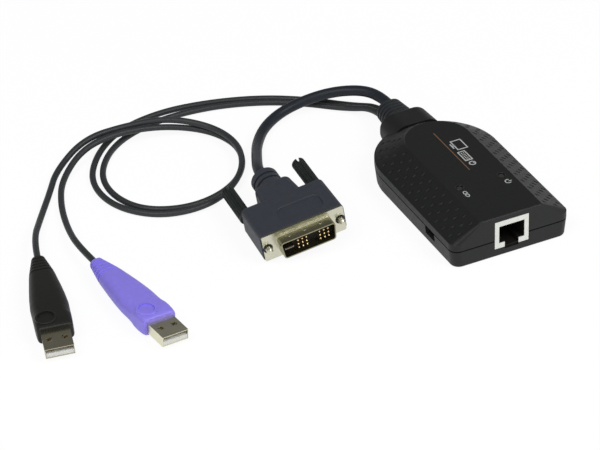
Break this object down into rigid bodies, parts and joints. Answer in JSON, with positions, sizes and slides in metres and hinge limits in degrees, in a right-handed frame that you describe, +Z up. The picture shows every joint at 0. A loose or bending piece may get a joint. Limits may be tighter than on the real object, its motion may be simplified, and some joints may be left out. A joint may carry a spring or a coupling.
{
  "type": "kvm dongle",
  "caption": "Flat wedge-sided adapter box with an RJ-45 socket, a mini-USB side socket and three captive cables to a DVI plug and two USB-A plugs.",
  "frame": {"origin": "bottom centre of the box with its strain relief, cables and plugs left out", "axes": "+Z up, +Y from the RJ-45 face to the strain relief, +X to the right seen from the RJ-45 face"},
  "size_m": [0.2294, 0.1694, 0.0199],
  "materials": {
    "housing": "satin",
    "grommet": "satin",
    "screw_steel": "zinc plated",
    "board": "solder resist",
    "chip_black": "matte",
    "socket_black": "satin",
    "tinned_steel": "tin plated, satin",
    "gold": "gold plated",
    "led": "gloss",
    "light_pipe": "frosted",
    "dvi_hood": "fine texture",
    "nickel": "nickel plated",
    "knob": "satin",
    "black_hood": "fine texture",
    "purple_hood": "satin",
    "usb_white": "satin",
    "usb_jacket": "satin",
    "dvi_jacket": "satin"
  },
  "bodies": {
    "adapter": {"bottom_cover": "housing", "top_cover": "housing", "cable_grommet": "grommet", "cover_screws": "screw_steel", "circuit_board": "board", "network_transformer": "chip_black", "main_chip": "chip_black", "memory_chip": "chip_black", "clock_crystal": "tinned_steel", "cable_header": "socket_black", "rj45_shield": "tinned_steel", "rj45_housing": "socket_black", "rj45_contacts": "gold", "mini_usb_shell": "tinned_steel", "mini_usb_tongue": "socket_black", "link_led": "led", "power_led": "led", "link_light_pipe": "light_pipe", "power_light_pipe": "light_pipe", "dvi_hood": "dvi_hood", "dvi_shell": "nickel", "dvi_insulator": "socket_black", "dvi_pins": "gold", "dvi_ground_blade": "gold", "black_usb_hood": "black_hood", "black_usb_shell": "nickel", "black_usb_insulator": "usb_white", "black_usb_contacts": "gold", "purple_usb_hood": "purple_hood", "purple_usb_shell": "nickel", "purple_usb_insulator": "usb_white", "purple_usb_contacts": "gold", "black_usb_cable": "usb_jacket", "purple_usb_cable": "usb_jacket", "dvi_cable": "dvi_jacket", "cable_tails": "usb_jacket"},
    "left_thumbscrew": {"dvi_left_knob": "knob", "dvi_left_screw": "nickel"},
    "right_thumbscrew": {"dvi_right_knob": "knob", "dvi_right_screw": "nickel"}
  },
  "joints": [
    {"name": "left_thumbscrew_turn", "type": "hinge", "parent": "adapter", "child": "left_thumbscrew", "pos_m": [-0.09283, -0.01432, 0.00735], "axis": [0.0436, 0.9982, 0.041], "continuous": true},
    {"name": "right_thumbscrew_turn", "type": "hinge", "parent": "adapter", "child": "right_thumbscrew", "pos_m": [-0.05997, -0.01596, 0.01245], "axis": [0.0436, 0.9982, 0.041], "continuous": true}
  ]
}
